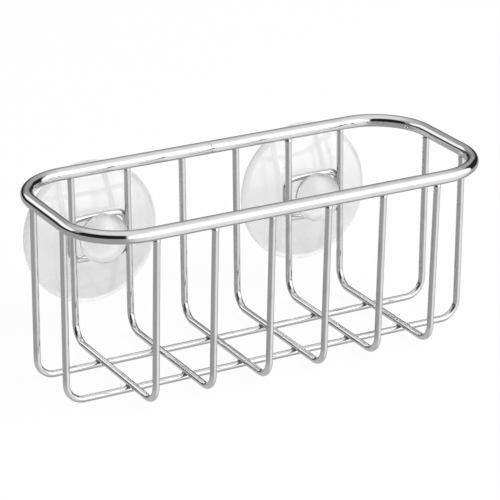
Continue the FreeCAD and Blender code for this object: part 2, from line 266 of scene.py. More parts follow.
class Studio(bpy.types.PropertyGroup):
    """The camera, the lamp and the floor."""
    azimuth: bpy.props.FloatProperty(
        name="Azimuth", description="How far the camera stands to the right of the basket's front",
        default=math.radians(-29.296), subtype="ANGLE")
    elevation: bpy.props.FloatProperty(
        name="Elevation", description="How far the camera looks down", default=math.radians(22.0),
        subtype="ANGLE")
    distance: bpy.props.FloatProperty(
        name="Distance", description="From the aim to the camera", default=823.2 * MM, unit="LENGTH")
    lens: bpy.props.FloatProperty(name="Lens", description="Focal length in millimetres", default=187.0)
    aim: bpy.props.FloatVectorProperty(
        name="Aim", description="The point from which the camera's distance is measured", subtype="XYZ",
        unit="LENGTH", default=(0, -3.738 * MM, 31 * MM))
    pan: bpy.props.FloatVectorProperty(
        name="Pan", description="How far right of the aim and above it the camera looks", size=2,
        unit="LENGTH", default=(-1.012 * MM, 2.906 * MM))
    roll: bpy.props.FloatProperty(
        name="Roll", description="How far the camera is turned about its line of sight",
        default=math.radians(0.32), subtype="ANGLE")
    floor_radius: bpy.props.FloatProperty(
        name="Floor radius", description="Radius of the round floor", default=1.5, unit="LENGTH")
    floor_colour: bpy.props.FloatVectorProperty(
        name="Floor", description="Colour of the floor", subtype="COLOR", size=3, min=0, max=1,
        default=linear("#F4F4F4"))
    lamp_place: bpy.props.FloatVectorProperty(
        name="Lamp place", description="Where the soft lamp stands", subtype="XYZ", unit="LENGTH",
        default=(0.55, -0.75, 0.95))
    lamp_size: bpy.props.FloatProperty(
        name="Lamp size", description="Width and height of the soft lamp", default=0.9, unit="LENGTH")
    lamp_power: bpy.props.FloatProperty(
        name="Lamp power", description="Power of the soft lamp", default=8, unit="POWER")
    fill: bpy.props.FloatProperty(
        name="Fill", description="Level of the even light from all round", default=0.65, min=0)


def add_node(tree, kind, values=None, **settings):
    """Add a node, with its settings, and link or set each of its inputs that values names."""
    node = tree.nodes.new(kind)
    for name, value in settings.items():
        setattr(node, name, value)
    for socket, value in (values or {}).items():
        if isinstance(value, bpy.types.NodeSocket):
            tree.links.new(value, node.inputs[socket])
        else:
            node.inputs[socket].default_value = value
    return node


def new_material(name):
    """A new material and its node tree, emptied."""
    material = bpy.data.materials.new(name)
    material.use_nodes = True
    material.node_tree.nodes.clear()
    return material, material.node_tree


def chrome_plate(finishes):
    """Bright chrome plate over drawn and polished steel wire.

    The plating is a clear mirror that follows the steel below it. To the eye that gives hard reflections with
    a slight wobble from the polishing, faint lines along the wire from the drawing die, and dull patches.
    """
    material, tree = new_material("chrome_plated_drawn_steel")
    place = add_node(tree, "ShaderNodeTexCoord").outputs["Object"]
    straight = add_node(tree, "ShaderNodeAttribute", attribute_name="straight").outputs["Vector"]

    # Dull patches of about 9 mm
    patches = add_node(
        tree, "ShaderNodeTexNoise",
        {"Vector": place, "Scale": 1 / (9 * MM), "Detail": 4.0, "Roughness": 0.6}).outputs["Fac"]
    dulled = add_node(
        tree, "ShaderNodeMapRange",
        {"Value": patches, "From Min": 0.5, "From Max": 0.75},
        interpolation_type="SMOOTHSTEP").outputs["Result"]
    colour = add_node(
        tree, "ShaderNodeMix",
        {"Factor": dulled, "A": (*finishes.chrome, 1), "B": (*finishes.chrome_haze, 1)}, data_type="RGBA")
    roughness = add_node(
        tree, "ShaderNodeMapRange",
        {"Value": dulled, "To Min": 0.045, "To Max": 0.11}).outputs["Result"]

    # Polishing leaves low waves of about 3.5 mm and 6 micrometres
    waves = add_node(
        tree, "ShaderNodeTexNoise",
        {"Vector": place, "Scale": 1 / (3.5 * MM), "Detail": 2.0}).outputs["Fac"]
    waved = add_node(
        tree, "ShaderNodeBump", {"Height": waves, "Strength": 1.0, "Distance": 0.006 * MM}).outputs["Normal"]

    # Lines from the die lie under 0.1 mm apart. They are drawn 0.35 mm apart, so that they show
    along = add_node(
        tree, "ShaderNodeMapping",
        {"Vector": straight, "Scale": (1 / (14 * MM), 1 / (0.35 * MM), 1 / (0.35 * MM))}).outputs["Vector"]
    lines = add_node(
        tree, "ShaderNodeTexNoise", {"Vector": along, "Scale": 1.0, "Detail": 2.0}).outputs["Fac"]
    normal = add_node(
        tree, "ShaderNodeBump",
        {"Height": lines, "Strength": 1.0, "Distance": 0.0006 * MM, "Normal": waved}).outputs["Normal"]

    surface = add_node(
        tree, "ShaderNodeBsdfPrincipled",
        {"Base Color": colour.outputs[2], "Metallic": 1.0, "Roughness": roughness, "Normal": normal})
    add_node(tree, "ShaderNodeOutputMaterial", {"Surface": surface.outputs["BSDF"]})
    return material


def weld_metal_and_shade(finishes):
    """Weld metal squeezed out between two wires, under a thin flash of chrome.

    Its dark grey is partly its own duller metal and partly painted shade and reflection where the wires
    cross, with darker patches, and it is pitted. To the eye that gives small dark grey spots, half matt, at
    every crossing.
    """
    material, tree = new_material("chrome_flashed_weld_metal")
    place = add_node(tree, "ShaderNodeTexCoord").outputs["Object"]

    # Darker patches of about 0.8 mm, which deepen the painted shade, with pits 0.02 mm deep
    patches = add_node(
        tree, "ShaderNodeTexNoise",
        {"Vector": place, "Scale": 1 / (0.8 * MM), "Detail": 3.0, "Roughness": 0.6}).outputs["Fac"]
    darkened = add_node(
        tree, "ShaderNodeMapRange", {"Value": patches, "From Min": 0.35, "From Max": 0.65},
        interpolation_type="SMOOTHSTEP").outputs["Result"]
    colour = add_node(
        tree, "ShaderNodeMix",
        {"Factor": darkened, "A": (*finishes.weld, 1), "B": (*finishes.weld_dark_and_shade, 1)}, data_type="RGBA")
    roughness = add_node(
        tree, "ShaderNodeMapRange", {"Value": darkened, "To Min": 0.25, "To Max": 0.5}).outputs["Result"]
    normal = add_node(
        tree, "ShaderNodeBump", {"Height": patches, "Strength": 1.0, "Distance": 0.02 * MM}).outputs["Normal"]
    surface = add_node(
        tree, "ShaderNodeBsdfPrincipled",
        {"Base Color": colour.outputs[2], "Metallic": 1.0, "Roughness": roughness, "Normal": normal})
    add_node(tree, "ShaderNodeOutputMaterial", {"Surface": surface.outputs["BSDF"]})
    return material


def clear_moulding(finishes):
    """Clear plasticised PVC, injection moulded in a polished mould.

    It is soft and see-through, with a weak grey tint. To the eye that gives bent views of what is behind it,
    with cloudy patches and flow marks that run out from the gate. The head is from a blasted part of the
    mould, so it is softer to look into, and the trimmed edge of the lip is matt.
    """
    material, tree = new_material("clear_moulded_soft_pvc")
    place = add_node(tree, "ShaderNodeTexCoord").outputs["Object"]
    spread = add_node(tree, "ShaderNodeAttribute", attribute_name="spread").outputs["Vector"]

    # Cloudy patches of about 11 mm
    clouds = add_node(
        tree, "ShaderNodeTexNoise",
        {"Vector": place, "Scale": 1 / (11 * MM), "Detail": 3.0, "Roughness": 0.55}).outputs["Fac"]
    clouded = add_node(
        tree, "ShaderNodeMapRange", {"Value": clouds, "From Min": 0.35, "From Max": 0.7},
        interpolation_type="SMOOTHSTEP").outputs["Result"]
    colour = add_node(
        tree, "ShaderNodeMix",
        {"Factor": clouded, "A": (*finishes.clear, 1), "B": (*finishes.clear_haze, 1)}, data_type="RGBA")
    roughness = add_node(
        tree, "ShaderNodeMapRange", {"Value": clouded, "To Min": 0.05, "To Max": 0.14}).outputs["Result"]

    # The head and the trimmed edge of the lip are duller than the rest
    dulled = add_node(tree, "ShaderNodeSeparateXYZ", {"Vector": spread}).outputs["Z"]
    roughness = add_node(tree, "ShaderNodeMath", {0: roughness, 1: dulled}, operation="ADD").outputs["Value"]

    # Flow marks about 5 mm wide at the lip, drawn out along the radius
    flow = add_node(
        tree, "ShaderNodeTexNoise", {"Vector": spread, "Scale": 1.0, "Detail": 2.0}).outputs["Fac"]
    normal = add_node(
        tree, "ShaderNodeBump", {"Height": flow, "Strength": 1.0, "Distance": 0.05 * MM}).outputs["Normal"]

    # PVC has an index of 1.53, and its plasticiser makes it a little milky
    surface = add_node(
        tree, "ShaderNodeBsdfPrincipled",
        {"Base Color": colour.outputs[2], "Roughness": roughness, "IOR": 1.53, "Transmission Weight": 0.93,
         "Normal": normal})
    add_node(tree, "ShaderNodeOutputMaterial", {"Surface": surface.outputs["BSDF"]})
    return material


# What each of the record's material slots looks like
SLOT_FINISHES = {"chrome_wire": chrome_plate, "clear_pvc": clear_moulding}


def material_for(finish):
    """The material that one of the functions above makes, made once."""
    for material in bpy.data.materials:
        if material.get("finish") == finish.__name__:
            return material
    material = finish(bpy.context.scene.sponge_holder_finishes)
    material["finish"] = finish.__name__
    return material


def add_piece(name, points, faces, slot, body, replaced=(), attribute=None, values=(), finish=None):
    """Make a smooth mesh of one piece, give it its finish and put it on its body."""
    mesh = bpy.data.meshes.new(name)
    mesh.from_pydata(points, [], faces)
    if mesh.validate():
        raise RuntimeError(f"{name}: the mesh has faulty faces")
    if attribute:
        layer = mesh.attributes.new(attribute, "FLOAT_VECTOR", "POINT")
        layer.data.foreach_set("vector", [number for value in values for number in value])
    mesh.shade_smooth()
    mesh.materials.append(material_for(finish or SLOT_FINISHES[slot]))
    piece = bpy.data.objects.new(name, mesh)
    bpy.context.scene.collection.objects.link(piece)
    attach(piece, body)
    if replaced:
        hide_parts(*replaced)


def bent_line(corners, bend):
    """Points along straight runs from corner to corner, with an arc of one radius at each inner corner."""
    points = [corners[0]]

    def run_to(end):
        start = points[-1]
        count = max(1, math.ceil((end - start).length / RUN_STEP))
        points.extend(start.lerp(end, step / count) for step in range(1, count + 1))

    for before, corner, after in zip(corners, corners[1:], corners[2:]):
        arriving = (corner - before).normalized()
        leaving = (after - corner).normalized()
        turn = arriving.angle(leaving)
        run_to(corner - arriving * bend * math.tan(turn / 2))
        axis = arriving.cross(leaving).normalized()
        spoke = arriving.cross(axis) * bend
        centre = points[-1] - spoke
        for step in range(1, BEND_STEPS + 1):
            points.append(centre + Matrix.Rotation(turn * step / BEND_STEPS, 3, axis) @ spoke)
    run_to(corners[-1])
    return points


def tube_faces(rings, sides, closed=False):
    """The faces between rings of points, with a cap at each end unless the last ring joins the first."""
    faces = []
    for ring in range(rings if closed else rings - 1):
        first = ring * sides
        second = (ring + 1) % rings * sides
        for side in range(sides):
            following = (side + 1) % sides
            faces.append((first + side, first + following, second + following, second + side))
    if not closed:
        faces.append(tuple(reversed(range(sides))))
        faces.append(tuple(range((rings - 1) * sides, rings * sides)))
    return faces


def sweep(points, upright, radius, sides, closed=False, swell=None):
    """A round wire along flat bent points: its own points, its faces and its shape as if it were straight.

    upright is square to the plane of the bends, and swell adds to the radius at a length along the wire.
    """
    lengths = [0.0]
    for here, there in zip(points, points[1:]):
        lengths.append(lengths[-1] + (there - here).length)
    if closed:
        points = points[:-1]
    count = len(points)
    skin = []
    straight = []
    for index, point in enumerate(points):
        before = points[index - 1] if index or closed else point
        after = points[(index + 1) % count] if index + 1 < count or closed else point
        across = upright.cross((after - before).normalized())
        size = radius + (swell(lengths[index], lengths[-1]) if swell else 0)
        for side in range(sides):
            angle = 2 * math.pi * side / sides
            skin.append(point + size * (math.cos(angle) * across + math.sin(angle) * upright))
            straight.append((lengths[index], size * math.cos(angle), size * math.sin(angle)))
    return skin, tube_faces(count, sides, closed), straight


def add_wire(node, line, upright, radius=WIRE_RADIUS, sides=WIRE_SIDES, closed=False, swell=None):
    """Add one bent wire of the basket in place of its CAD node."""
    points, faces, straight = sweep(line, upright, radius, sides, closed, swell)
    add_piece(f"bent_{node}", points, faces, "chrome_wire", "basket", [node], "straight", straight)


def upset_ends(sizes, shares):
    """How a leg swells just below the rim, at both of its welded ends."""
    buried = RIM_RADIUS - sizes.weld_depth

    def swell(length, total):
        share = shares[0] if length < total / 2 else shares[1]
        from_rim = (min(length, total - length) - buried) / sizes.upset_length
        return share * sizes.upset * max(1 - (2 * from_rim - 1) ** 2, 0)

    return swell


def finer_ends(points, reach):
    """The same line, divided finely near both of its ends for the upset metal there."""
    start = (points[1] - points[0]).normalized()
    end = (points[-2] - points[-1]).normalized()
    head = [points[0] + start * reach * step / WELD_STEPS for step in range(WELD_STEPS)]
    tail = [points[-1] + end * reach * step / WELD_STEPS for step in range(WELD_STEPS)]
    inner = [p for p in points if (p - points[0]).length > reach and (p - points[-1]).length > reach]
    return head + inner + list(reversed(tail))


def add_leg_wire(node, corners, upright, sizes):
    """Add a thin wire from the rim down, under the floor and up to the rim, with its two welded ends."""
    line = finer_ends(bent_line(corners, sizes.floor_bend), RIM_RADIUS + sizes.upset_length)
    add_wire(node, line, upright, swell=upset_ends(sizes, WELD_SHARES[node]))


class SPONGE_OT_rim(bpy.types.Operator):
    """Add the heavy rim, one bent wire with a butt weld in the middle of its back run"""
    bl_idname = "sponge_holder.rim"
    bl_label = "Add rim"

    def execute(self, context):
        sizes = context.scene.sponge_holder_basket
        corners = [RIM_MIDDLE + Vector((x * RIM_HALF_X, y * RIM_HALF_Y, 0)) for x, y in LOOP]
        line = bent_line(corners, sizes.rim_bend)
        half_seam = sizes.seam_width / 2
        first = self.seam_steps(line, half_seam)
        last = self.seam_steps(line[::-1], half_seam)[::-1]
        line = [line[0], *first, *line[1:-1], *last, line[-1]]

        def seam(length, total):
            share = max(1 - min(length, total - length) / half_seam, 0)
            return -sizes.seam_depth * share

        add_wire("rim", line, Vector((0, 0, 1)), RIM_RADIUS, RIM_SIDES, True, seam)
        return {"FINISHED"}

    @staticmethod
    def seam_steps(line, half_seam):
        """Points close to the weld at the start of a line, for its groove."""
        along = (line[1] - line[0]).normalized()
        return [line[0] + along * half_seam * share for share in SEAM_SHARES]


class SPONGE_OT_cross_wires(bpy.types.Operator):
    """Add the six thin wires from the front of the rim, under the floor and up to the back"""
    bl_idname = "sponge_holder.cross_wires"
    bl_label = "Add cross wires"

    def execute(self, context):
        sizes = context.scene.sponge_holder_basket
        floor_y = RIM_HALF_Y - sizes.wall_lean
        lean = sizes.wall_lean / WALL_HEIGHT
        top_y = RIM_HALF_Y - lean * sizes.weld_depth
        top_z = RIM_MIDDLE.z - sizes.weld_depth
        for node in CROSS_WIRES:
            x = middle(node).x
            spots = [(-top_y, top_z), (-floor_y, CROSS_Z), (floor_y, CROSS_Z), (top_y, top_z)]
            corners = [Vector((x, RIM_MIDDLE.y + y, z)) for y, z in spots]
            add_leg_wire(node, corners, Vector((1, 0, 0)), sizes)
        return {"FINISHED"}


class SPONGE_OT_long_wires(bpy.types.Operator):
    """Add the two thin wires that run the basket's length under its floor"""
    bl_idname = "sponge_holder.long_wires"
    bl_label = "Add lengthwise wires"

    def execute(self, context):
        sizes = context.scene.sponge_holder_basket
        top_z = RIM_MIDDLE.z - sizes.weld_depth
        for node in LONG_WIRES:
            y = middle(node).y
            spots = [(-RIM_HALF_X, top_z), (-RIM_HALF_X, LONG_Z), (RIM_HALF_X, LONG_Z), (RIM_HALF_X, top_z)]
            corners = [Vector((RIM_MIDDLE.x + x, y, z)) for x, z in spots]
            add_leg_wire(node, corners, Vector((0, -1, 0)), sizes)
        return {"FINISHED"}


class SPONGE_OT_keepers(bpy.types.Operator):
    """Add the two wire loops behind the back legs that keep the suction cups"""
    bl_idname = "sponge_holder.keepers"
    bl_label = "Add keepers"

    def execute(self, context):
        sizes = context.scene.sponge_holder_basket
        lean = math.atan(sizes.wall_lean / WALL_HEIGHT)
        upright = Vector((0, math.sin(lean), math.cos(lean)))
        for side in SIDES:
            node = f"{side}_keeper"
            low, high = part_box(node)
            half_width = (high.x - low.x) / 2 - WIRE_RADIUS
            half_height = ((high.z - low.z) / 2 - WIRE_RADIUS) / math.cos(lean)
            centre = middle(node)
            corners = [centre + Vector((x * half_width, 0, 0)) + z * half_height * upright for x, z in LOOP]
            line = bent_line(corners, sizes.keeper_bend)
            for point in line:
                across = (point - centre).x / half_width
                along = max(min((point - centre).dot(upright) / half_height, 1), -1)
                point += upright * sizes.keeper_crown * along * (1 - across ** 2)
            add_wire(node, line, Vector((1, 0, 0)).cross(upright), closed=True)
        return {"FINISHED"}


def weld_bead(centre, reach, lean, phase):
    """The metal squeezed out round a spot weld: a flat, uneven lump."""
    points = []
    rows = BEAD_SIDES // 2
    for row in range(1, rows):
        rise = math.pi * (row / rows - 0.5)
        for side in range(BEAD_SIDES):
            angle = 2 * math.pi * side / BEAD_SIDES
            oval = BEAD_OVAL * math.cos(2 * angle + phase)
            lobes = BEAD_LOBES * math.cos(3 * angle + 2 * phase)
            flat = math.cos(rise) * (1 + oval + lobes)
            points.append(centre + lean @ Vector((
                reach.x * flat * math.cos(angle),
                reach.y * flat * math.sin(angle),
                reach.z * math.sin(rise))))
    return points, tube_faces(rows - 1, BEAD_SIDES)


class SPONGE_OT_welds(bpy.types.Operator):
    """Add the small lumps of metal at the spot welds of the floor and of the keepers"""
    bl_idname = "sponge_holder.welds"
    bl_label = "Add weld beads"

    def execute(self, context):
        sizes = context.scene.sponge_holder_basket
        level = (LONG_Z + CROSS_Z) / 2
        reach = Vector((sizes.bead_width, sizes.bead_width, sizes.bead_height))
        spots = [Vector((middle(a).x, middle(b).y, level)) for a in CROSS_WIRES for b in LONG_WIRES]
        self.add_beads("floor_weld_beads", spots, reach, Matrix.Identity(3))
        lean = math.atan(sizes.wall_lean / WALL_HEIGHT)
        turned = Matrix.Rotation(-lean, 3, "X")
        spots = []
        for side in SIDES:
            low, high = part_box(f"{side}_keeper")
            half_width = (high.x - low.x) / 2 - WIRE_RADIUS
            for x in (-half_width, half_width):
                spots.append((low + high) / 2 + turned @ Vector((x, -WIRE_RADIUS, 0)))
        reach = Vector((
            sizes.bead_width * KEEPER_BEAD_WIDTH, sizes.bead_height, sizes.bead_width * KEEPER_BEAD_LENGTH))
        self.add_beads("keeper_weld_beads", spots, reach, turned)
        return {"FINISHED"}

    @staticmethod
    def add_beads(name, spots, reach, lean):
        """One piece of many beads."""
        points = []
        faces = []
        for index, spot in enumerate(spots):
            bead_points, bead_faces = weld_bead(spot, reach, lean, index)
            faces.extend(tuple(corner + len(points) for corner in face) for face in bead_faces)
            points.extend(bead_points)
        # The beads' darker finish is partly painted shade where the wires meet
        add_piece(name, points, faces, "chrome_wire", "basket", finish=weld_metal_and_shade)


def arc(centre, radius, start, end, steps):
    """Points of a section's arc from one angle to another, in degrees."""
    angles = [math.radians(start + (end - start) * step / steps) for step in range(steps + 1)]
    return [(centre[0] + radius * math.cos(a), centre[1] + radius * math.sin(a)) for a in angles]


def cup_section(sizes):
    """Half of a cup's section, from the middle of its head to the middle of its hollow.

    Each place has its radius, its height and how much duller than the rest the mould leaves it.
    """
    shoulder = sizes.neck_length / 2
    neck = sizes.neck_diameter / 2
    fillet = sizes.neck_fillet
    edge = sizes.head_edge
    head_top = -shoulder - sizes.head_height
    edge_x = sizes.head_diameter / 2 - edge
    edge_y = -shoulder - edge
    lip = sizes.lip_diameter / 2
    face = shoulder + sizes.cup_depth
    front = face - sizes.lip_thickness
    crown = shoulder + sizes.crown_wall
    rounding = sizes.lip_rounding

    # The dome's centre is on the axis, and the dome runs into the rounding of the head's edge
    drop = edge_y - head_top
    dome = (edge_x ** 2 + drop ** 2 - edge ** 2) / (2 * (drop - edge))
    dome_y = head_top + dome
    dome_end = math.degrees(math.atan2(edge_y - dome_y, edge_x))
    section = arc((0, dome_y), dome, -90, dome_end, FACE_STEPS)
    gate = sizes.gate_diameter / 2
    section = [(x, y + sizes.gate_depth * max(1 - (x / gate) ** 2, 0) ** 2) for x, y in section]
    section += arc((edge_x, edge_y), edge, dome_end, 90, HEAD_EDGE_STEPS)[1:]
    rows = [(x, y, BLASTED) for x, y in section]

    # The cup's outer face is an arc about the axis, through the neck's corner and the front of the lip. Near
    # the lip's trimmed edge it runs straight
    outer_y = (lip ** 2 + front ** 2 - neck ** 2 - shoulder ** 2) / (2 * (front - shoulder))
    outer = math.hypot(neck, shoulder - outer_y)
    foot_x = neck + fillet
    foot_y = outer_y - math.sqrt((outer + fillet) ** 2 - foot_x ** 2)
    foot_end = math.degrees(math.atan2(outer_y - foot_y, -foot_x))
    section = arc((foot_x, -shoulder + fillet), fillet, -90, -180, FILLET_STEPS)
    section += arc((foot_x, foot_y), fillet, 180, foot_end, FILLET_STEPS)
    start = math.degrees(math.atan2(foot_y - outer_y, foot_x))
    taper_x = lip - sizes.lip_taper
    taper_y = outer_y - math.sqrt(outer ** 2 - taper_x ** 2)
    end = math.degrees(math.atan2(taper_y - outer_y, taper_x))
    section += arc((0, outer_y), outer, start, end, FACE_STEPS)[1:]
    trim = arc((lip - rounding, face - rounding), rounding, LIP_EDGE_START, 90, LIP_EDGE_STEPS)
    trim_x, trim_y = trim[0]
    for step in range(1, TAPER_STEPS):
        share = step / TAPER_STEPS
        section.append((taper_x + (trim_x - taper_x) * share, taper_y + (trim_y - taper_y) * share))
    rows += [(x, y, 0) for x, y in section]
    rows += [(x, y, TRIMMED) for x, y in trim]

    # The hollow is an arc about the axis too, from the inner edge of the flat ring to the crown
    land = lip - sizes.lip_land
    hollow_y = (land ** 2 + face ** 2 - crown ** 2) / (2 * (face - crown))
    hollow = hollow_y - crown
    start = math.degrees(math.atan2(face - hollow_y, land))
    rows += [(x, y, 0) for x, y in arc((0, hollow_y), hollow, start, -90, FACE_STEPS)]
    return rows


class SPONGE_OT_suction_cups(bpy.types.Operator):
    """Add the two clear suction cups, each with its neck and head"""
    bl_idname = "sponge_holder.suction_cups"
    bl_label = "Add suction cups"

    def execute(self, context):
        sizes = context.scene.sponge_holder_cups
        section = cup_section(sizes)[1:-1]
        lip = sizes.lip_diameter / 2
        head_top = -sizes.neck_length / 2 - sizes.head_height + sizes.gate_depth
        crown = sizes.neck_length / 2 + sizes.crown_wall
        for side in SIDES:
            turn = TURNS[f"{side}_cup"]
            centre = Vector(turn["pos_m"])
            axis = Vector(turn["axis"]).normalized()
            across = Vector((1, 0, 0))
            upward = across.cross(axis)
            points = []
            spread = []
            for radius, height, dulled in section:
                marks = HEAD_MARKS if height < 0 else LIP_MARKS
                for step in range(CUP_SIDES):
                    angle = 2 * math.pi * step / CUP_SIDES
                    wave = 0.5 + 0.5 * math.sin(CURLS * angle + CURL_TURN)
                    curl = sizes.lip_wave * wave * (radius / lip) ** CURL_POWER
                    around = across * math.cos(angle) + upward * math.sin(angle)
                    points.append(centre + axis * (height - curl) + around * radius)
                    spread.append((marks * math.cos(angle), marks * math.sin(angle), dulled))
            first = len(points)
            points += [centre + axis * head_top, centre + axis * crown]
            spread += [(0, 0, BLASTED), (0, 0, 0)]
            faces = []
            rows = len(section)
            for step in range(CUP_SIDES):
                following = (step + 1) % CUP_SIDES
                faces.append((first, step, following))
                last = (rows - 1) * CUP_SIDES
                faces.append((first + 1, last + following, last + step))
                for row in range(rows - 1):
                    here = row * CUP_SIDES
                    there = here + CUP_SIDES
                    faces.append((here + step, there + step, there + following, here + following))
            name = f"moulded_{side}_suction_cup"
            node = f"{side}_suction_cup"
            add_piece(name, points, faces, "clear_pvc", f"{side}_cup", [node], "spread", spread)
        return {"FINISHED"}


# What shiny faces see of the studio. Each card has a name, its corners, how far the edge after each corner
# fades, as a sine, and its level, where 1 is white. A corner is the angle from the basket's front towards its
# right end and the angle above the horizon, in degrees
CARDS = [
    ("lit floor to the right",
     [(-5, -5), (84, -5), (84, -60), (-5, -60)], (0.1, 0.25, 0.25, 0.25), 1.5),
    ("dark room behind the camera",
     [(-98, -8), (-10, -8), (-10, 42), (-98, 38)], (0.05, 0.05, 0.05, 0.05), 0.02),
    ("dark corner at the right",
     [(86, -10), (128, -8), (128, 22), (86, 38)], (0.06, 0.06, 0.06, 0.06), 0.03),
    ("soft box",
     [(-14, -12), (85, -12), (85, 40), (-14, 40)], (0.2, 0.06, 0.36, 0.06), 1.85),
    ("bright middle of the soft box",
     [(8, 1), (47, 1), (47, 36), (8, 36)], (0.03, 0.03, 0.1, 0.03), 3.1),
    ("white panel at the back left",
     [(186, 14.5), (248, 13.5), (248, 34.5), (186, 32.5)], (0.05, 0.05, 0.08, 0.08), 1.65),
]

# The rest of the room: the height above the horizon, as the sine of the angle, and the level there
ROOM = [(-1, 0.0), (-0.2, 0.03), (-0.05, 0.02), (0.1, 0.03), (0.2, 0.1), (0.3, 0.38), (0.37, 0.52),
        (0.6, 0.58), (0.75, 0.85), (0.89, 1.15), (1, 1.2)]

# What the clear cups show of that studio: the levels for black and for a bright card, and how bright that
# card is
THROUGH_DARK = 1.1
THROUGH_BRIGHT = 1.7
BRIGHT_CARD = 2.0

# How far below the wires the floor lies, and how much of what the camera sees there is plain white
FLOOR_GAP = 0.05 * MM
FLOOR_WHITE = 0.94

# How much of the floor shows in the chrome: near the basket, fading out between two distances from its
# middle, and from low over it, fading in as the way shortens. A wire that touches it sees a shaded level.
# These levels are emitted, and paint the light and shade on the floor
MIRRORED = 0.52
MIRRORED_FADE = (0.4, 0.9)
MIRRORED_LOW = 0.74
LOW_FADE = (8 * MM, 24 * MM)
SHADED = 0.6
SHADED_FADE = (0.8 * MM, 3.5 * MM)

# The level of the floor through the clear cups, between two distances from the basket's middle. The lower
# level close behind the basket is painted shade
BEHIND = (0.72, 1.0)
BEHIND_FADE = (0.05, 0.2)


def matt_floor(studio):
    """The floor's matt white, which each kind of ray sees at its own level."""
    material, tree = new_material("matt_white_studio_floor")
    path = add_node(tree, "ShaderNodeLightPath").outputs
    place = add_node(tree, "ShaderNodeTexCoord").outputs["Object"]
    distance = add_node(tree, "ShaderNodeVectorMath", {0: place}, operation="LENGTH").outputs["Value"]

    # A grain of about 1.5 mm
    grain = add_node(
        tree, "ShaderNodeTexNoise", {"Vector": place, "Scale": 1 / (1.5 * MM), "Detail": 2.0}).outputs["Fac"]
    bump = add_node(
        tree, "ShaderNodeBump", {"Height": grain, "Strength": 0.3, "Distance": 0.05 * MM}).outputs["Normal"]
    matt = add_node(
        tree, "ShaderNodeBsdfDiffuse", {"Color": (*studio.floor_colour, 1), "Normal": bump}).outputs["BSDF"]
    white = add_node(tree, "ShaderNodeEmission", {"Strength": 1.0}).outputs["Emission"]
    seen = add_node(
        tree, "ShaderNodeMath", {0: path["Is Camera Ray"], 1: FLOOR_WHITE}, operation="MULTIPLY")
    lit = add_node(
        tree, "ShaderNodeMixShader", {0: seen.outputs["Value"], 1: matt, 2: white}).outputs["Shader"]

    # Wires low over the floor see it lighter, and where they touch it they see their own shade
    near = add_node(
        tree, "ShaderNodeMapRange",
        {"Value": distance, "From Min": MIRRORED_FADE[0], "From Max": MIRRORED_FADE[1],
         "To Min": MIRRORED, "To Max": 0.0},
        interpolation_type="SMOOTHSTEP").outputs["Result"]
    low, close = [
        add_node(
            tree, "ShaderNodeMapRange",
            {"Value": path["Ray Length"], "From Min": fade[0], "From Max": fade[1],
             "To Min": 1.0, "To Max": 0.0},
            interpolation_type="SMOOTHSTEP").outputs["Result"]
        for fade in (LOW_FADE, SHADED_FADE)]
    near = add_node(
        tree, "ShaderNodeMix", {"Factor": low, "A": near, "B": MIRRORED_LOW}, data_type="FLOAT").outputs[0]
    clear = add_node(tree, "ShaderNodeBsdfTransparent").outputs["BSDF"]
    mirrored = add_node(tree, "ShaderNodeMixShader", {0: near, 1: clear, 2: white}).outputs["Shader"]
    shaded = add_node(tree, "ShaderNodeEmission", {"Strength": SHADED}).outputs["Emission"]
    mirrored = add_node(tree, "ShaderNodeMixShader", {0: close, 1: mirrored, 2: shaded}).outputs["Shader"]

    # Through the clear cups the floor is white further off and greyer close behind the basket, in painted
    # shade
    level = add_node(
        tree, "ShaderNodeMapRange",
        {"Value": distance, "From Min": BEHIND_FADE[0], "From Max": BEHIND_FADE[1],
         "To Min": BEHIND[0], "To Max": BEHIND[1]}).outputs["Result"]
    behind = add_node(tree, "ShaderNodeEmission", {"Strength": level}).outputs["Emission"]
    surface = lit
    for kind, shader in (("Is Glossy Ray", mirrored), ("Is Transmission Ray", behind)):
        surface = add_node(
            tree, "ShaderNodeMixShader", {0: path[kind], 1: surface, 2: shader}).outputs["Shader"]
    add_node(tree, "ShaderNodeOutputMaterial", {"Surface": surface})
    return material


def card_share(tree, direction, corners, fades):
    """How much a direction looks at a card of the studio: 1 inside it, and less over its faded edges."""
    spots = []
    for turn, rise in corners:
        flat = math.cos(math.radians(rise))
        turn = math.radians(turn)
        spots.append(Vector((math.sin(turn) * flat, -math.cos(turn) * flat, math.sin(math.radians(rise)))))
    inside = sum(spots, Vector())
    share = 1.0
    for here, there, fade in zip(spots, spots[1:] + spots[:1], fades):
        side = here.cross(there).normalized()
        if side.dot(inside) < 0:
            side.negate()
        reach = add_node(
            tree, "ShaderNodeVectorMath", {0: direction, 1: side}, operation="DOT_PRODUCT").outputs["Value"]
        edge = add_node(
            tree, "ShaderNodeMapRange", {"Value": reach, "From Min": -fade, "From Max": fade},
            interpolation_type="SMOOTHSTEP").outputs["Result"]
        share = add_node(tree, "ShaderNodeMath", {0: share, 1: edge}, operation="MULTIPLY").outputs["Value"]
    return share


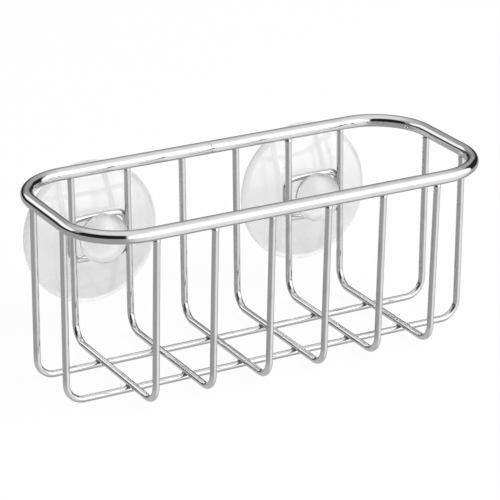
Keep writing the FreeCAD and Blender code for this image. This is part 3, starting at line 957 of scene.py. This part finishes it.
class SPONGE_OT_studio(bpy.types.Operator):
    """Add the camera, the pale floor and the soft light"""
    bl_idname = "sponge_holder.studio"
    bl_label = "Add studio"

    def execute(self, context):
        studio = context.scene.sponge_holder_studio
        context.scene.view_settings.view_transform = "Standard"
        self.add_camera(context, studio)
        self.add_floor(context, studio)
        self.add_lamp(context, studio)
        self.add_world(context, studio)
        return {"FINISHED"}

    @staticmethod
    def add_camera(context, studio):
        """The camera, at the angle of the photograph."""
        flat = math.cos(studio.elevation)
        back = Vector((
            math.sin(studio.azimuth) * flat, -math.cos(studio.azimuth) * flat, math.sin(studio.elevation)))
        right = Vector((math.cos(studio.azimuth), math.sin(studio.azimuth), 0))
        up = back.cross(right)
        aim = Vector(studio.aim)
        data = bpy.data.cameras.new("studio_camera")
        data.lens = studio.lens
        data.clip_start = 10 * MM
        camera = bpy.data.objects.new("studio_camera", data)
        context.scene.collection.objects.link(camera)
        camera.location = aim + back * studio.distance
        look = aim + right * studio.pan[0] + up * studio.pan[1] - camera.location
        turned = look.to_track_quat("-Z", "Y") @ Quaternion((0, 0, 1), studio.roll)
        camera.rotation_euler = turned.to_euler()
        context.scene.camera = camera

    @staticmethod
    def add_floor(context, studio):
        """A round pale floor, just below the wires that stand on it."""
        mesh = bpy.data.meshes.new("studio_floor")
        angles = [2 * math.pi * side / FLOOR_SIDES for side in range(FLOOR_SIDES)]
        rim = [(studio.floor_radius * math.cos(a), studio.floor_radius * math.sin(a), 0) for a in angles]
        mesh.from_pydata(rim, [], [tuple(range(FLOOR_SIDES))])
        mesh.materials.append(matt_floor(studio))
        floor = bpy.data.objects.new("studio_floor", mesh)
        floor.location.z = CAD_LOW.z - FLOOR_GAP
        context.scene.collection.objects.link(floor)

    @staticmethod
    def add_lamp(context, studio):
        """One large soft lamp in front of the basket, to its right. The chrome sees it as the soft box."""
        data = bpy.data.lights.new("soft_box", "AREA")
        data.shape = "RECTANGLE"
        data.size = studio.lamp_size
        data.size_y = studio.lamp_size
        data.energy = studio.lamp_power
        lamp = bpy.data.objects.new("soft_box", data)
        context.scene.collection.objects.link(lamp)
        lamp.location = studio.lamp_place
        lamp.rotation_euler = (Vector(studio.aim) - lamp.location).to_track_quat("-Z", "Y").to_euler()
        lamp.visible_glossy = False
        lamp.visible_camera = False

    @staticmethod
    def add_world(context, studio):
        """White to the camera, light through the cups, even on matt faces, and a studio in the chrome."""
        world = bpy.data.worlds.new("soft_studio")
        world.use_nodes = True
        context.scene.world = world
        tree = world.node_tree
        tree.nodes.clear()
        path = add_node(tree, "ShaderNodeLightPath").outputs
        direction = add_node(tree, "ShaderNodeTexCoord").outputs["Generated"]
        height = add_node(tree, "ShaderNodeSeparateXYZ", {"Vector": direction}).outputs["Z"]
        place = add_node(tree, "ShaderNodeMapRange", {"Value": height, "From Min": -1.0}).outputs["Result"]
        room = add_node(tree, "ShaderNodeFloatCurve", {"Value": place})
        curve = room.mapping.curves[0]
        top = max(level for _, level in ROOM)
        spots = [((sine + 1) / 2, level / top) for sine, level in ROOM]
        for spot in spots[1:-1]:
            curve.points.new(*spot)
        for point, spot in zip(curve.points, spots):
            point.location = spot
            point.handle_type = "VECTOR"
        room.mapping.update()
        view = add_node(
            tree, "ShaderNodeMath", {0: room.outputs["Value"], 1: top}, operation="MULTIPLY").outputs["Value"]
        for name, corners, fades, level in CARDS:
            share = card_share(tree, direction, corners, fades)
            view = add_node(
                tree, "ShaderNodeMix", {"Factor": share, "A": view, "B": level},
                data_type="FLOAT", label=name).outputs[0]
        through = add_node(
            tree, "ShaderNodeMapRange",
            {"Value": view, "From Max": BRIGHT_CARD, "To Min": THROUGH_DARK, "To Max": THROUGH_BRIGHT})
        levels = {
            "Is Glossy Ray": view, "Is Transmission Ray": through.outputs["Result"], "Is Camera Ray": 1.0}
        strength = studio.fill
        for kind, level in levels.items():
            strength = add_node(
                tree, "ShaderNodeMix", {"Factor": path[kind], "A": strength, "B": level},
                data_type="FLOAT").outputs[0]
        light = add_node(tree, "ShaderNodeBackground", {"Color": (1, 1, 1, 1), "Strength": strength})
        add_node(tree, "ShaderNodeOutputWorld", {"Surface": light.outputs["Background"]})


class SPONGE_PT_holder(bpy.types.Panel):
    """The sizes, the finishes and the steps of the sponge holder"""
    bl_label = "Sponge holder"
    bl_idname = "SPONGE_PT_holder"
    bl_space_type = "VIEW_3D"
    bl_region_type = "UI"
    bl_category = "Sponge holder"

    def draw(self, context):
        for name in GROUPS:
            group = getattr(context.scene, name)
            part = self.layout.box()
            for key in group.bl_rna.properties.keys():
                if key not in ("rna_type", "name"):
                    part.prop(group, key)
        for operator in OPERATORS:
            self.layout.operator(operator.bl_idname)


GROUPS = {
    "sponge_holder_basket": BasketSizes,
    "sponge_holder_cups": CupSizes,
    "sponge_holder_finishes": Finishes,
    "sponge_holder_studio": Studio,
}
OPERATORS = [
    SPONGE_OT_rim,
    SPONGE_OT_cross_wires,
    SPONGE_OT_long_wires,
    SPONGE_OT_keepers,
    SPONGE_OT_welds,
    SPONGE_OT_suction_cups,
    SPONGE_OT_studio,
]


def register():
    """Make the settings, the steps and the panel known to Blender."""
    for kind in (*GROUPS.values(), *OPERATORS, SPONGE_PT_holder):
        bpy.utils.register_class(kind)
    for name, group in GROUPS.items():
        setattr(bpy.types.Scene, name, bpy.props.PointerProperty(type=group))


def unregister():
    """Take them out again."""
    for name in GROUPS:
        delattr(bpy.types.Scene, name)
    for kind in reversed((*GROUPS.values(), *OPERATORS, SPONGE_PT_holder)):
        bpy.utils.unregister_class(kind)


def main():
    """Build the holder and its studio."""
    register()
    bpy.ops.sponge_holder.rim()
    bpy.ops.sponge_holder.cross_wires()
    bpy.ops.sponge_holder.long_wires()
    bpy.ops.sponge_holder.keepers()
    bpy.ops.sponge_holder.welds()
    bpy.ops.sponge_holder.suction_cups()
    bpy.ops.sponge_holder.studio()


if __name__ == "__main__":
    main()
